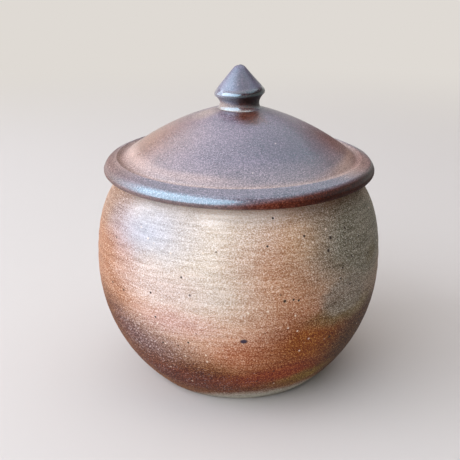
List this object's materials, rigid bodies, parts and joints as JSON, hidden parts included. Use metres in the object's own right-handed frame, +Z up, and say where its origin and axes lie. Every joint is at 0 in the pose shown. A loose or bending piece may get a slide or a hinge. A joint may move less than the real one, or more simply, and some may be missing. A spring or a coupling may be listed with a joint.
{
  "type": "salt pot",
  "caption": "Round wheel-thrown stoneware salt pot with a loose domed lid that drops into the mouth and lifts off by a pointed knob.",
  "frame": {"origin": "middle of the flat base, on the surface that the pot stands on", "axes": "+Z up along the pot's turning axis, towards the knob; -Y is the side that the picture shows"},
  "size_m": [0.11, 0.11, 0.1215],
  "materials": {
    "pot_stoneware": "unglazed, flame-flashed from tan to rust and grey, fine grit",
    "lid_stoneware": "unglazed, flashed purple-brown with a thin ash sheen",
    "knob_stoneware": "unglazed, flashed grey-lilac with a thin ash sheen"
  },
  "bodies": {
    "pot": {"pot_body": "pot_stoneware"},
    "lid": {"domed_lid": "lid_stoneware", "lid_knob": "knob_stoneware"}
  },
  "joints": [
    {"name": "lid_lift", "type": "slide", "parent": "pot", "child": "lid", "axis": [0, 0, 1], "range_m": [0, 0.08]}
  ]
}
